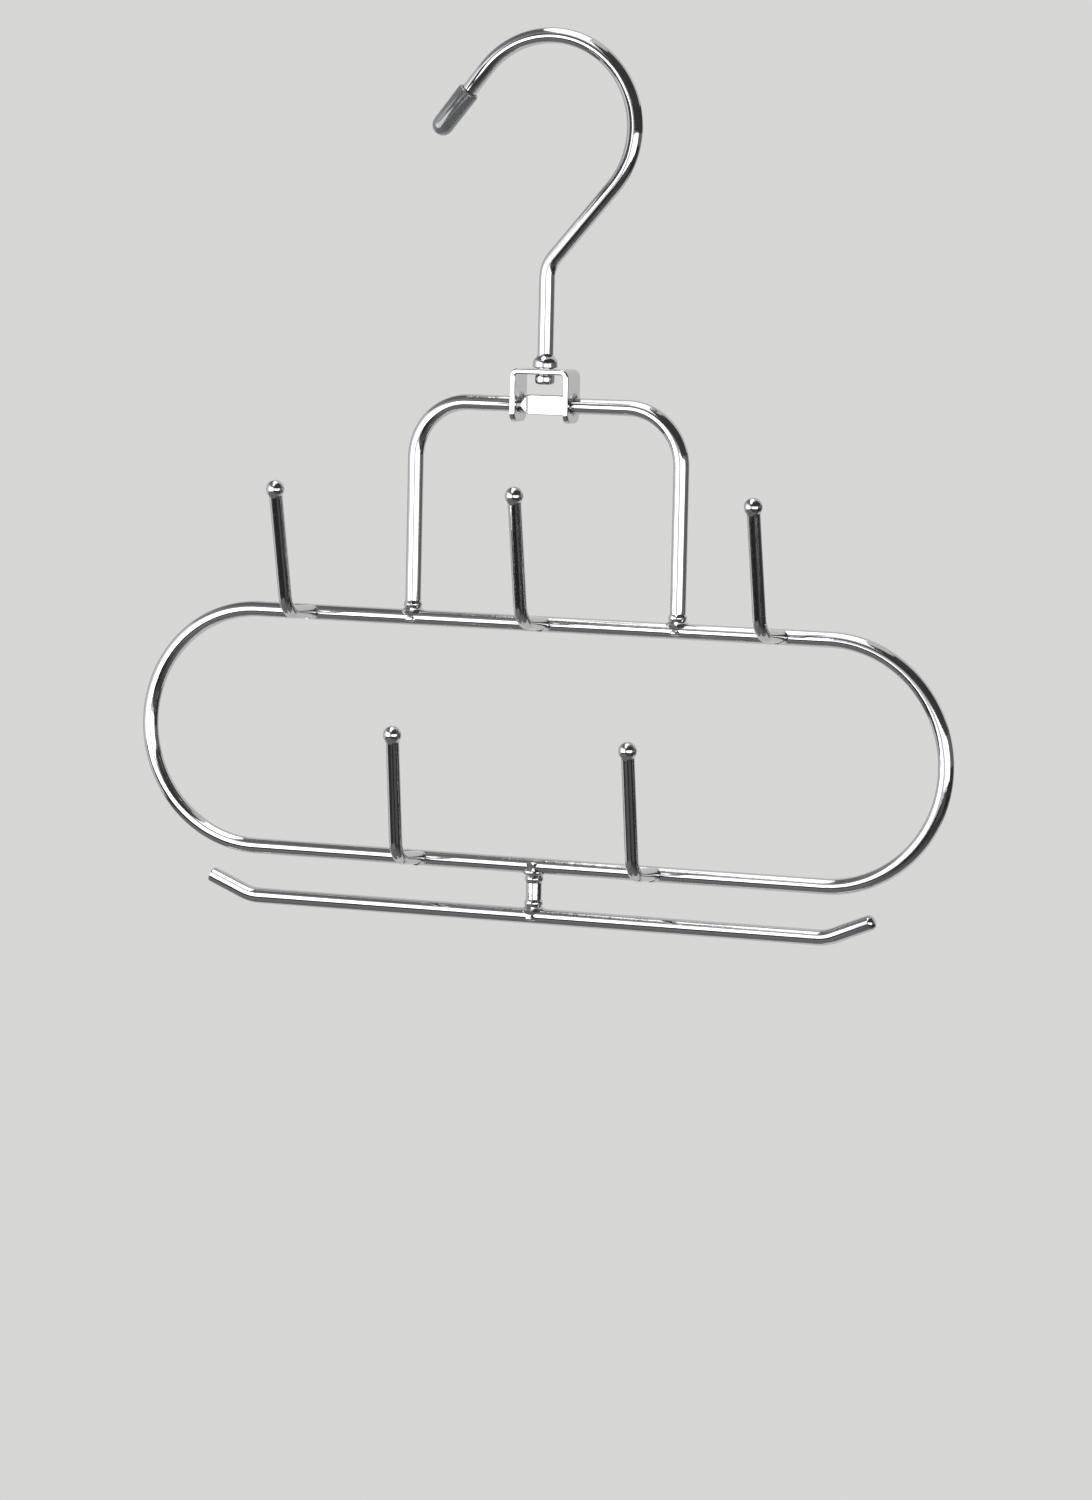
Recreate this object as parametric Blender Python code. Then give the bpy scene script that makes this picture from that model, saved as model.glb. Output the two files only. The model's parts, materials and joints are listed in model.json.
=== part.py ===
"""Belt hanger in bright plated wire.

A swivel hook carries a small folded bracket.  A wire yoke swings in the
bracket's ears and carries a long closed loop with ball-ended pegs in two
rows.  A straight rail with lifted ends hangs under the loop.

Metres, +Z up, seen from -Y.  The origin is the underside of the hook's crown,
where the clothes rod touches it.
"""
import math

import bmesh
import bpy
from mathutils import Matrix, Vector

# Hook wire
HOOK_WIRE = 0.0042              # diameter
BOWL_RADIUS = 0.0236            # to the wire's centreline
BOWL_TO_CORNER = 0.0362         # bowl's centre down to the shank's corner
BOWL_TO_PIVOT = 0.0724          # bowl's centre down to the yoke's axis
SHANK_BEND_RADIUS = 0.008
BOWL_END_ANGLE = math.radians(141)   # where the bowl runs out into the tip
TIP_RUN = 0.0198                # straight wire past the bowl
WIRE_CHAMFER = 0.0007           # broken edge of a cut wire

# Collar and riveted head that trap the bracket on the shank
COLLAR_DIAMETER = 0.0066
COLLAR_HEIGHT = 0.0033
COLLAR_SHOULDER = 0.0012        # rounded upper corner
COLLAR_ROOT = 0.0006            # hollow corner against the shank
COLLAR_EDGE = 0.0003
HEAD_DIAMETER = 0.0052
HEAD_HEIGHT = 0.0024
HEAD_EDGE = 0.0005

# Cap on the hook's tip
CAP_DIAMETER = 0.0059
CAP_LENGTH = 0.0144
CAP_FLOOR = 0.0022              # plastic past the wire's end

# Folded bracket
BRACKET_WIDTH = 0.0165          # outside one ear to outside the other
BRACKET_DEPTH = 0.009           # front to back
BRACKET_THICKNESS = 0.0015
BRACKET_RISE = 0.0095           # yoke's axis up to the bracket's top face
EAR_DROP = 0.0046               # yoke's axis down to the ear's foot
EAR_CORNER_RADIUS = 0.0026
BRACKET_FOLD_RADIUS = 0.0007    # inside the fold
BRACKET_EDGE = 0.0002
EAR_BORE = 0.0055               # diameter; the yoke's wire hangs at its bottom

# Frame wire: yoke, loop, rail and link
FRAME_WIRE = 0.0042             # diameter
YOKE_WIDTH = 0.075              # between the legs' centrelines
YOKE_HEIGHT = 0.0575            # pivot down to the loop's top bar
YOKE_CORNER_RADIUS = 0.015
FLAT_THICKNESS = 0.0025         # pressed length between the ears
FLAT_HEIGHT = 0.0054
FLAT_TAPER = 0.0024
FLAT_SIDE_PLAY = 0.00015
FLAT_EDGE = 0.0004              # rounding at the pressed faces' edges
LOOP_BAR_LENGTH = 0.162         # straight part of each bar
LOOP_END_RADIUS = 0.032
RAIL_DROP = 0.0134              # bottom bar down to the rail
RAIL_LENGTH = 0.164             # between the corners of the lifted ends
RAIL_END_LENGTH = 0.014
RAIL_END_LIFT = math.radians(22.5)
RAIL_BEND_RADIUS = 0.012

# Pegs
PEG_WIRE = 0.0036               # diameter
PEG_PITCH = 0.0665              # along one bar
PEG_REACH = 0.017               # bar's centreline forward to the leg
PEG_FOOT_RISE = math.radians(5) # foot's rise to the front
PEG_BEND_RADIUS = 0.006
PEG_RISE = 0.0344               # bar's centreline up to the ball's centre
PEG_LEAN = math.radians(10)     # leg's lean to the front
BALL_DIAMETER = 0.0049
BALL_NECK_RADIUS = 0.0015       # hollow corner under the ball

# The welded set stands this far to the right of the swivel and the loop
WELD_SHIFT = 0.0012

# Butt welds: the wire's end swells where it was forged on to a bar
WELD_SWELL = 0.0004
WELD_HEIGHT = 0.0012
WELD_BITE = 0.0008              # the end reaches this far past the bar's crown
WELD_LIP = 0.0003               # full swell clear of the crown

# Clearances
SEAT_GAP = 0.0003               # between a wire's end and the bar it meets
RUNNING_GAP = 0.0003            # round a turning wire, on its radius
CUT_OVERRUN = 0.003             # cutters reach this far past what they cut

# Facets
WIRE_SIDES = 20
PEG_SIDES = 16
BORE_SIDES = 32
QUARTER_TURN_STEPS = 10
SMALL_ARC_STEPS = 3
TAPER_STEPS = 4
BALL_STEPS = 5

CHROME_COLOUR = (0.83, 0.84, 0.86, 1.0)
CHROME_ROUGHNESS = 0.08
CAP_COLOUR = (0.30, 0.32, 0.34, 1.0)
CAP_ROUGHNESS = 0.45

# Heights that the sizes above set
HOOK_RADIUS = HOOK_WIRE / 2
FRAME_RADIUS = FRAME_WIRE / 2
PEG_RADIUS = PEG_WIRE / 2
BOWL_CENTRE_Z = HOOK_RADIUS - BOWL_RADIUS
PIVOT_Z = BOWL_CENTRE_Z - BOWL_TO_PIVOT
TOP_BAR_Z = PIVOT_Z - YOKE_HEIGHT
BOTTOM_BAR_Z = TOP_BAR_Z - 2 * LOOP_END_RADIUS
RAIL_Z = BOTTOM_BAR_Z - RAIL_DROP

RIGHT = Vector((1, 0, 0))
FORWARD = Vector((0, -1, 0))
UP = Vector((0, 0, 1))


class Wire:
    """A round wire grown from its start: straight runs, bends and worked ends."""

    def __init__(self, radius, start, ahead, side, sides=WIRE_SIDES):
        self.mesh = bmesh.new()
        self.at = Vector(start)
        self.ahead = Vector(ahead).normalized()
        self.side = Vector(side).normalized()
        self.radius = radius
        ring = bmesh.ops.create_circle(
            self.mesh, segments=sides, radius=radius, matrix=self.frame()
        )["verts"]
        self.verts = ring
        self.edges = list({edge for vert in ring for edge in vert.link_edges})
        self.first_edges = list(self.edges)

    def frame(self):
        """Ring frame: X to the side, Y across, Z ahead along the wire."""
        across = self.ahead.cross(self.side)
        axes = Matrix((self.side, across, self.ahead)).transposed().to_4x4()
        return Matrix.Translation(self.at) @ axes

    def run(self, length):
        """Carry the ring straight ahead."""
        grown = bmesh.ops.extrude_edge_only(self.mesh, edges=self.edges)["geom"]
        self.verts = [item for item in grown if isinstance(item, bmesh.types.BMVert)]
        fresh = set(self.verts)
        self.edges = [
            item for item in grown
            if isinstance(item, bmesh.types.BMEdge) and fresh.issuperset(item.verts)
        ]
        bmesh.ops.translate(self.mesh, verts=self.verts, vec=self.ahead * length)
        self.at = self.at + self.ahead * length

    def swell(self, length, radius):
        """Carry the ring ahead and bring it to a new radius."""
        self.run(length)
        factor = radius / self.radius
        bmesh.ops.scale(
            self.mesh, vec=(factor, factor, 1), verts=self.verts, space=self.frame().inverted()
        )
        self.radius = radius

    def turned(self, profile):
        """Follow a turned profile of (distance from here, radius) pairs."""
        done = 0
        for distance, radius in profile:
            self.swell(distance - done, radius)
            done = distance

    def bend(self, radius, angle, toward, steps):
        """Turn the wire toward a direction round a bend of this centreline radius."""
        toward = Vector(toward).normalized()
        centre = self.at + toward * radius
        axis = self.ahead.cross(toward)
        spun = bmesh.ops.spin(
            self.mesh, geom=self.verts + self.edges, cent=centre, axis=axis,
            angle=angle, steps=steps, use_duplicate=False,
        )["geom_last"]
        self.verts = [item for item in spun if isinstance(item, bmesh.types.BMVert)]
        self.edges = [item for item in spun if isinstance(item, bmesh.types.BMEdge)]
        turn = Matrix.Rotation(angle, 3, axis)
        self.at = centre + turn @ (self.at - centre)
        self.ahead = turn @ self.ahead
        self.side = turn @ self.side

    def cap_end(self):
        """Close the ring with a flat end."""
        bmesh.ops.edgeloop_fill(self.mesh, edges=self.edges)

    def cap_start(self):
        """Close the first ring with a flat end."""
        bmesh.ops.edgeloop_fill(self.mesh, edges=self.first_edges)

    def close_to_point(self, length):
        """Draw the ring together on a point ahead."""
        self.run(length)
        bmesh.ops.pointmerge(self.mesh, verts=self.verts, merge_co=self.at)

    def close_loop(self):
        """Join the last ring to the first with a straight bar."""
        bmesh.ops.bridge_loops(self.mesh, edges=self.first_edges + self.edges)

    def to_object(self, name, material, parent, location):
        """Finish the solid as an object with smooth sides and sharp rims."""
        bmesh.ops.recalc_face_normals(self.mesh, faces=self.mesh.faces)
        return place(name, mesh_from(self.mesh, name), material, parent, location)


def mesh_from(work, name):
    mesh = bpy.data.meshes.new(name)
    work.to_mesh(mesh)
    work.free()
    mesh.shade_smooth()
    mesh.set_sharp_from_angle(angle=math.radians(40))
    return mesh


def place(name, mesh, material, parent, location):
    """An object of this mesh whose world location is given."""
    thing = bpy.data.objects.new(name, mesh)
    bpy.context.scene.collection.objects.link(thing)
    if material and not mesh.materials:
        mesh.materials.append(material)
    thing.parent = parent
    base = parent.matrix_world.translation if parent else Vector((0, 0, 0))
    thing.location = Vector(location) - base
    return thing


def axis_empty(name, location, parent=None):
    """An empty on a joint's axis, which carries the pieces that turn there."""
    thing = bpy.data.objects.new(name, None)
    bpy.context.scene.collection.objects.link(thing)
    thing.parent = parent
    base = parent.matrix_world.translation if parent else Vector((0, 0, 0))
    thing.location = Vector(location) - base
    bpy.context.view_layer.update()
    return thing


def principled(name, colour, roughness, metallic):
    material = bpy.data.materials.new(name)
    material.use_nodes = True
    shader = material.node_tree.nodes["Principled BSDF"]
    shader.inputs["Base Color"].default_value = colour
    shader.inputs["Roughness"].default_value = roughness
    shader.inputs["Metallic"].default_value = metallic
    return material


def as_cutter(thing):
    thing.hide_render = True
    thing.display_type = "WIRE"
    return thing


def rod_cutter(name, radius, length, axis, location):
    """A hidden round rod that bores a hole or copes a wire's end."""
    work = bmesh.new()
    turn = UP.rotation_difference(axis).to_matrix().to_4x4()
    half_facet = Matrix.Rotation(math.pi / BORE_SIDES, 4, "Z")
    bmesh.ops.create_cone(
        work, cap_ends=True, segments=BORE_SIDES, radius1=radius, radius2=radius,
        depth=length, matrix=turn @ half_facet,
    )
    return as_cutter(place(name, mesh_from(work, name), None, None, location))


def cut(thing, cutter):
    """Take the cutter's shape out of the object."""
    boolean = thing.modifiers.new(cutter.name, "BOOLEAN")
    boolean.operation = "DIFFERENCE"
    boolean.object = cutter


def weld_profile(radius):
    """Turned profile of a forged wire end, from its face to the plain wire."""
    shoulder = WELD_BITE + SEAT_GAP + WELD_LIP
    profile = [(shoulder, radius + WELD_SWELL)]
    for step in range(1, SMALL_ARC_STEPS + 1):
        turn = math.pi / 2 * step / SMALL_ARC_STEPS
        distance = shoulder + WELD_HEIGHT * (1 - math.cos(turn))
        profile.append((distance, radius + WELD_SWELL * (1 - math.sin(turn))))
    return profile


def mirrored(profile):
    """The same profile walked from its other end, up to its first face."""
    total = profile[-1][0]
    walked = [(total - distance, radius) for distance, radius in reversed(profile)]
    return walked[1:] + [(total, profile[0][1])]


def make_hook(material, parent):
    """Hook wire from the riveted head up the shank and round the bowl to the tip."""
    top_face = PIVOT_Z + BRACKET_RISE
    head_top = top_face - BRACKET_THICKNESS - SEAT_GAP
    head_bottom = head_top - HEAD_HEIGHT
    collar_bottom = top_face + SEAT_GAP
    corner = Vector((0, 0, BOWL_CENTRE_Z - BOWL_TO_CORNER))
    slope = math.asin(BOWL_RADIUS / BOWL_TO_CORNER)
    slope_run = math.sqrt(BOWL_TO_CORNER ** 2 - BOWL_RADIUS ** 2)
    trim = SHANK_BEND_RADIUS * math.tan(slope / 2)

    wire = Wire(HEAD_DIAMETER / 2 - HEAD_EDGE, (0, 0, head_bottom), UP, RIGHT)
    wire.cap_start()
    wire.swell(HEAD_EDGE, HEAD_DIAMETER / 2)
    wire.run(HEAD_HEIGHT - HEAD_EDGE)
    wire.swell(0, HOOK_RADIUS)
    wire.run(collar_bottom - head_top)
    wire.swell(0, COLLAR_DIAMETER / 2 - COLLAR_EDGE)
    wire.turned(collar_profile())
    wire.run(corner.z - trim - wire.at.z)
    wire.bend(SHANK_BEND_RADIUS, slope, RIGHT, QUARTER_TURN_STEPS // 2)
    wire.run(slope_run - trim)
    inward = Vector((0, 0, BOWL_CENTRE_Z)) - wire.at
    wire.bend(BOWL_RADIUS, slope + math.pi / 2, inward, 2 * QUARTER_TURN_STEPS)
    wire.bend(BOWL_RADIUS, BOWL_END_ANGLE - math.pi / 2, -UP, QUARTER_TURN_STEPS)
    wire.run(TIP_RUN - WIRE_CHAMFER)
    wire.swell(WIRE_CHAMFER, HOOK_RADIUS - WIRE_CHAMFER)
    wire.cap_end()
    tip = (wire.at.copy(), wire.ahead.copy())
    wire.to_object("hook", material, parent, (0, 0, 0))
    return tip


def collar_profile():
    """Bell-shaped collar: broken lower edge, round shoulder, hollow root."""
    radius = COLLAR_DIAMETER / 2
    profile = [(COLLAR_EDGE, radius)]
    shoulder_start = COLLAR_HEIGHT - COLLAR_SHOULDER - COLLAR_ROOT
    for step in range(SMALL_ARC_STEPS + 1):
        turn = math.pi / 2 * step / (SMALL_ARC_STEPS + 1)
        distance = shoulder_start + COLLAR_SHOULDER * math.sin(turn)
        profile.append((distance, radius - COLLAR_SHOULDER * (1 - math.cos(turn))))
    root_radius = HOOK_RADIUS + COLLAR_ROOT
    for step in range(SMALL_ARC_STEPS + 1):
        turn = math.pi / 2 * step / SMALL_ARC_STEPS
        distance = COLLAR_HEIGHT - COLLAR_ROOT * math.cos(turn)
        profile.append((distance, root_radius - COLLAR_ROOT * math.sin(turn)))
    return profile


def make_tip_cap(material, parent, tip):
    """Soft cap pushed on the hook's tip: a sleeve with a round end and a blind bore."""
    wire_end, ahead = tip
    outer = CAP_DIAMETER / 2
    bore = HOOK_RADIUS + SEAT_GAP
    mouth = CAP_FLOOR - CAP_LENGTH
    dome = Wire(outer, ahead * mouth, ahead, FORWARD)
    dome.run(CAP_LENGTH - outer)
    for step in range(1, BALL_STEPS):
        turn = math.pi / 2 * step / BALL_STEPS
        before = math.pi / 2 * (step - 1) / BALL_STEPS
        dome.swell(outer * (math.sin(turn) - math.sin(before)), outer * math.cos(turn))
    dome.close_to_point(outer * (1 - math.sin(math.pi / 2 * (BALL_STEPS - 1) / BALL_STEPS)))
    rim = dome.mesh
    lip = Wire.__new__(Wire)
    lip.mesh, lip.edges, lip.at = rim, dome.first_edges, ahead * mouth
    lip.ahead, lip.side, lip.radius = ahead, FORWARD, outer
    lip.swell(0, bore)
    lip.run(CAP_LENGTH - CAP_FLOOR + SEAT_GAP)
    lip.cap_end()
    lip.to_object("hook_tip_cap", material, parent, wire_end)


def make_bracket(material, parent):
    """Folded strip with two round-ended ears, bored for the yoke and the shank."""
    half_depth = BRACKET_DEPTH / 2
    half_width = BRACKET_WIDTH / 2
    work = bmesh.new()
    corners = [
        work.verts.new((-half_width, half_depth, -EAR_DROP)),
        work.verts.new((-half_width, -half_depth, -EAR_DROP)),
        work.verts.new((-half_width, -half_depth, BRACKET_RISE)),
        work.verts.new((-half_width, half_depth, BRACKET_RISE)),
    ]
    side = work.faces.new(corners)
    grown = bmesh.ops.extrude_face_region(work, geom=[side])["geom"]
    moved = [item for item in grown if isinstance(item, bmesh.types.BMVert)]
    bmesh.ops.translate(work, verts=moved, vec=RIGHT * BRACKET_WIDTH)
    ear_corners = [
        edge for edge in work.edges
        if all(vert.co.z < 0 for vert in edge.verts)
        and abs(edge.verts[0].co.x - edge.verts[1].co.x) > half_width
    ]
    bmesh.ops.bevel(
        work, geom=ear_corners, offset=EAR_CORNER_RADIUS,
        segments=QUARTER_TURN_STEPS, profile=0.5, affect="EDGES",
    )
    folds = [
        edge for edge in work.edges
        if all(vert.co.z > half_depth for vert in edge.verts)
        and abs(edge.verts[0].co.x - edge.verts[1].co.x) < BRACKET_EDGE
    ]
    bmesh.ops.bevel(
        work, geom=folds, offset=BRACKET_FOLD_RADIUS + BRACKET_THICKNESS,
        segments=QUARTER_TURN_STEPS // 2, profile=0.5, affect="EDGES",
    )
    bmesh.ops.recalc_face_normals(work, faces=work.faces)
    bracket = place("swivel_bracket", mesh_from(work, "swivel_bracket"), material, parent,
                    (0, 0, PIVOT_Z))

    cut(bracket, bracket_inside())
    edges = bracket.modifiers.new("broken edges", "BEVEL")
    edges.width = BRACKET_EDGE
    edges.segments = 1
    edges.limit_method = "ANGLE"
    edges.angle_limit = math.radians(50)
    bore_rise = EAR_BORE / 2 - FRAME_RADIUS - RUNNING_GAP
    cut(bracket, rod_cutter(
        "yoke_bore", EAR_BORE / 2, BRACKET_WIDTH + 2 * CUT_OVERRUN, RIGHT,
        (0, 0, PIVOT_Z + bore_rise),
    ))
    cut(bracket, rod_cutter(
        "shank_bore", HOOK_RADIUS + RUNNING_GAP, BRACKET_THICKNESS + 2 * SEAT_GAP, UP,
        (0, 0, PIVOT_Z + BRACKET_RISE - BRACKET_THICKNESS / 2),
    ))
    return bracket


def bracket_inside():
    """Hidden block that opens the bracket between its ears."""
    height = BRACKET_RISE - BRACKET_THICKNESS + EAR_DROP + CUT_OVERRUN
    work = bmesh.new()
    bmesh.ops.create_cube(work, size=1)
    size = Matrix.Diagonal((
        BRACKET_WIDTH - 2 * BRACKET_THICKNESS, BRACKET_DEPTH + 2 * CUT_OVERRUN, height, 1
    ))
    bmesh.ops.transform(work, matrix=size, verts=work.verts)
    folds = [
        edge for edge in work.edges
        if all(vert.co.z > 0 for vert in edge.verts)
        and abs(edge.verts[0].co.x - edge.verts[1].co.x) < BRACKET_EDGE
    ]
    bmesh.ops.bevel(work, geom=folds, offset=BRACKET_FOLD_RADIUS, segments=SMALL_ARC_STEPS,
                    profile=0.5, affect="EDGES")
    centre = PIVOT_Z + BRACKET_RISE - BRACKET_THICKNESS - height / 2
    return as_cutter(place("bracket_inside", mesh_from(work, "bracket_inside"), None, None,
                           (0, 0, centre)))


def make_yoke(material, parent, bar_cutter):
    """Inverted U whose top is pressed flat between the bracket's ears."""
    half_width = YOKE_WIDTH / 2
    face = FRAME_RADIUS - WELD_BITE
    half_flat = BRACKET_WIDTH / 2 - BRACKET_THICKNESS - FLAT_TAPER - FLAT_SIDE_PLAY
    flat_centre = -WELD_SHIFT
    wire = Wire(FRAME_RADIUS + WELD_SWELL, (-half_width, 0, face - YOKE_HEIGHT), UP, FORWARD)
    wire.cap_start()
    wire.turned(weld_profile(FRAME_RADIUS))
    wire.run(-YOKE_CORNER_RADIUS - wire.at.z)
    wire.bend(YOKE_CORNER_RADIUS, math.pi / 2, RIGHT, QUARTER_TURN_STEPS)
    wire.run(flat_centre - half_flat - FLAT_TAPER - wire.at.x)
    for _ in range(TAPER_STEPS):
        wire.run(FLAT_TAPER / TAPER_STEPS)
    wire.run(2 * half_flat)
    for _ in range(TAPER_STEPS):
        wire.run(FLAT_TAPER / TAPER_STEPS)
    wire.run(half_width - YOKE_CORNER_RADIUS - wire.at.x)
    wire.bend(YOKE_CORNER_RADIUS, math.pi / 2, -UP, QUARTER_TURN_STEPS)
    weld = mirrored(weld_profile(FRAME_RADIUS))
    wire.run(wire.at.z - (face - YOKE_HEIGHT) - weld[-1][0])
    wire.turned(weld)
    wire.cap_end()
    press_flat(wire.mesh, flat_centre, half_flat)
    yoke = wire.to_object("yoke", material, parent, (WELD_SHIFT, 0, PIVOT_Z))
    cut(yoke, bar_cutter)


def press_flat(work, centre, half_flat):
    """Press the round wire to a flat, with a smooth run-out at each end."""
    half_thickness = FLAT_THICKNESS / 2
    half_height = FLAT_HEIGHT / 2
    face_edge = math.sqrt(FRAME_RADIUS ** 2 - half_thickness ** 2)
    for vert in work.verts:
        past = max(0, abs(vert.co.x - centre) - half_flat)
        if past < FLAT_TAPER:
            share = (1 + math.cos(math.pi * past / FLAT_TAPER)) / 2
            pressed = vert.co.copy()
            if abs(vert.co.y) > half_thickness:
                pressed.y = math.copysign(half_thickness, vert.co.y)
                pressed.z *= (half_height - FLAT_EDGE) / face_edge
            else:
                pressed.z *= half_height / FRAME_RADIUS
            vert.co = vert.co.lerp(pressed, share)


def make_loop(material, parent):
    """Closed loop: two straight bars joined by half-round ends."""
    half_bar = LOOP_BAR_LENGTH / 2
    wire = Wire(FRAME_RADIUS, (half_bar, 0, 0), RIGHT, FORWARD)
    wire.bend(LOOP_END_RADIUS, math.pi, -UP, 2 * QUARTER_TURN_STEPS)
    wire.run(LOOP_BAR_LENGTH)
    wire.bend(LOOP_END_RADIUS, math.pi, UP, 2 * QUARTER_TURN_STEPS)
    wire.close_loop()
    wire.to_object("loop_frame", material, parent, (0, 0, TOP_BAR_Z))


def peg_mesh():
    """One peg: forged foot, upright leg that leans forward, ball end."""
    turn = math.pi / 2 - PEG_FOOT_RISE - PEG_LEAN
    trim = PEG_BEND_RADIUS * math.tan(turn / 2)
    face = FRAME_RADIUS - WELD_BITE
    along_foot = FORWARD * math.cos(PEG_FOOT_RISE) + UP * math.sin(PEG_FOOT_RISE)
    wire = Wire(PEG_RADIUS + WELD_SWELL, along_foot * face, along_foot, RIGHT, PEG_SIDES)
    wire.cap_start()
    wire.turned(weld_profile(PEG_RADIUS))
    wire.run(PEG_REACH / math.cos(PEG_FOOT_RISE) - trim - wire.at.length)
    wire.bend(PEG_BEND_RADIUS, turn, along_foot.cross(RIGHT), QUARTER_TURN_STEPS - 2)
    corner_height = PEG_REACH * math.tan(PEG_FOOT_RISE)
    leg = (PEG_RISE - corner_height) / math.cos(PEG_LEAN) - trim
    ball = ball_profile()
    wire.run(leg + ball[0][0])
    wire.turned([(distance - ball[0][0], radius) for distance, radius in ball[1:]])
    wire.close_to_point(BALL_DIAMETER / 2 - ball[-1][0])
    bmesh.ops.recalc_face_normals(wire.mesh, faces=wire.mesh.faces)
    return mesh_from(wire.mesh, "peg")


def ball_profile():
    """Profile through the neck and the ball, as (distance past the centre, radius)."""
    ball = BALL_DIAMETER / 2
    reach = ball + BALL_NECK_RADIUS
    lift = math.acos((PEG_RADIUS + BALL_NECK_RADIUS) / reach)
    neck_at = -reach * math.sin(lift)
    profile = []
    for step in range(SMALL_ARC_STEPS):
        turn = lift * step / SMALL_ARC_STEPS
        distance = neck_at + BALL_NECK_RADIUS * math.sin(turn)
        radius = PEG_RADIUS + BALL_NECK_RADIUS * (1 - math.cos(turn))
        profile.append((distance, radius))
    last_turn = math.pi / 2 * (1 - 1 / BALL_STEPS)
    for step in range(2 * BALL_STEPS - 2):
        turn = -lift + (last_turn + lift) * step / (2 * BALL_STEPS - 3)
        profile.append((ball * math.sin(turn), ball * math.cos(turn)))
    return profile


def make_pegs(material, parent, top_cutter, bottom_cutter):
    """Three pegs on the top bar and two half a pitch between them on the bottom bar."""
    mesh = peg_mesh()
    rows = (
        ("peg_top_left", -PEG_PITCH, TOP_BAR_Z, top_cutter),
        ("peg_top_middle", 0, TOP_BAR_Z, top_cutter),
        ("peg_top_right", PEG_PITCH, TOP_BAR_Z, top_cutter),
        ("peg_bottom_left", -PEG_PITCH / 2, BOTTOM_BAR_Z, bottom_cutter),
        ("peg_bottom_right", PEG_PITCH / 2, BOTTOM_BAR_Z, bottom_cutter),
    )
    for name, along, height, cutter in rows:
        peg = place(name, mesh, material, parent, (WELD_SHIFT + along, 0, height))
        cut(peg, cutter)


def make_rail(material, parent):
    """Straight rail whose two ends lift."""
    rise = Vector((0, 0, math.sin(RAIL_END_LIFT)))
    left_tip = -RIGHT * (RAIL_LENGTH / 2 + RAIL_END_LENGTH * math.cos(RAIL_END_LIFT))
    left_tip += rise * RAIL_END_LENGTH
    down = RIGHT * math.cos(RAIL_END_LIFT) - rise
    trim = RAIL_BEND_RADIUS * math.tan(RAIL_END_LIFT / 2)
    upright = Vector((math.sin(RAIL_END_LIFT), 0, math.cos(RAIL_END_LIFT)))
    wire = Wire(FRAME_RADIUS - WIRE_CHAMFER, left_tip, down, FORWARD)
    wire.cap_start()
    wire.swell(WIRE_CHAMFER, FRAME_RADIUS)
    wire.run(RAIL_END_LENGTH - WIRE_CHAMFER - trim)
    wire.bend(RAIL_BEND_RADIUS, RAIL_END_LIFT, upright, SMALL_ARC_STEPS)
    wire.run(RAIL_LENGTH - 2 * trim)
    wire.bend(RAIL_BEND_RADIUS, RAIL_END_LIFT, UP, SMALL_ARC_STEPS)
    wire.run(RAIL_END_LENGTH - WIRE_CHAMFER - trim)
    wire.swell(WIRE_CHAMFER, FRAME_RADIUS - WIRE_CHAMFER)
    wire.cap_end()
    wire.to_object("rail", material, parent, (0, 0, RAIL_Z))


def make_link(material, parent, upper_cutter, lower_cutter):
    """Short wire forged between the bottom bar and the rail."""
    face = FRAME_RADIUS - WELD_BITE
    upper = weld_profile(FRAME_RADIUS)
    lower = mirrored(upper)
    wire = Wire(FRAME_RADIUS + WELD_SWELL, -UP * face, -UP, FORWARD)
    wire.cap_start()
    wire.turned(upper)
    wire.run(RAIL_DROP - 2 * face - upper[-1][0] - lower[-1][0])
    wire.turned(lower)
    wire.cap_end()
    link = wire.to_object("rail_link", material, parent, (0, 0, BOTTOM_BAR_Z))
    cut(link, upper_cutter)
    cut(link, lower_cutter)


def bar_seat(name, height):
    """Hidden rod, one seat gap larger than the frame wire, that copes what meets a bar."""
    length = LOOP_BAR_LENGTH + 2 * CUT_OVERRUN
    return rod_cutter(name, FRAME_RADIUS + SEAT_GAP, length, RIGHT, (0, 0, height))


def build():
    for thing in list(bpy.data.objects):
        bpy.data.objects.remove(thing)

    chrome = principled("bright chrome", CHROME_COLOUR, CHROME_ROUGHNESS, 1.0)
    cap_plastic = principled("grey cap plastic", CAP_COLOUR, CAP_ROUGHNESS, 0.0)

    saddle = axis_empty("rod_saddle", (0, 0, 0))
    swivel = axis_empty("swivel_axis", (0, 0, PIVOT_Z + BRACKET_RISE), saddle)
    swing = axis_empty("swing_axis", (0, 0, PIVOT_Z), swivel)

    tip = make_hook(chrome, saddle)
    make_tip_cap(cap_plastic, saddle, tip)
    make_bracket(chrome, swivel)

    top_seat = bar_seat("top_bar_seat", TOP_BAR_Z)
    bottom_seat = bar_seat("bottom_bar_seat", BOTTOM_BAR_Z)
    rail_seat = bar_seat("rail_seat", RAIL_Z)
    make_yoke(chrome, swing, top_seat)
    make_loop(chrome, swing)
    make_pegs(chrome, swing, top_seat, bottom_seat)
    make_rail(chrome, swing)
    make_link(chrome, swing, bottom_seat, rail_seat)


build()
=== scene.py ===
# %% [markdown]
# # A chromed belt hanger
#
# This lesson dresses a finished CAD model of a wire belt hanger.  The CAD
# solids fix every size and every joint.  Here each wire is bent again with
# far more facets, the butt welds get their beads, and the plating, the folded
# strip and the soft cap get their finishes.

# %% Load the frame
import json
import math

import bmesh
import bpy
from mathutils import Matrix, Vector


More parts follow.
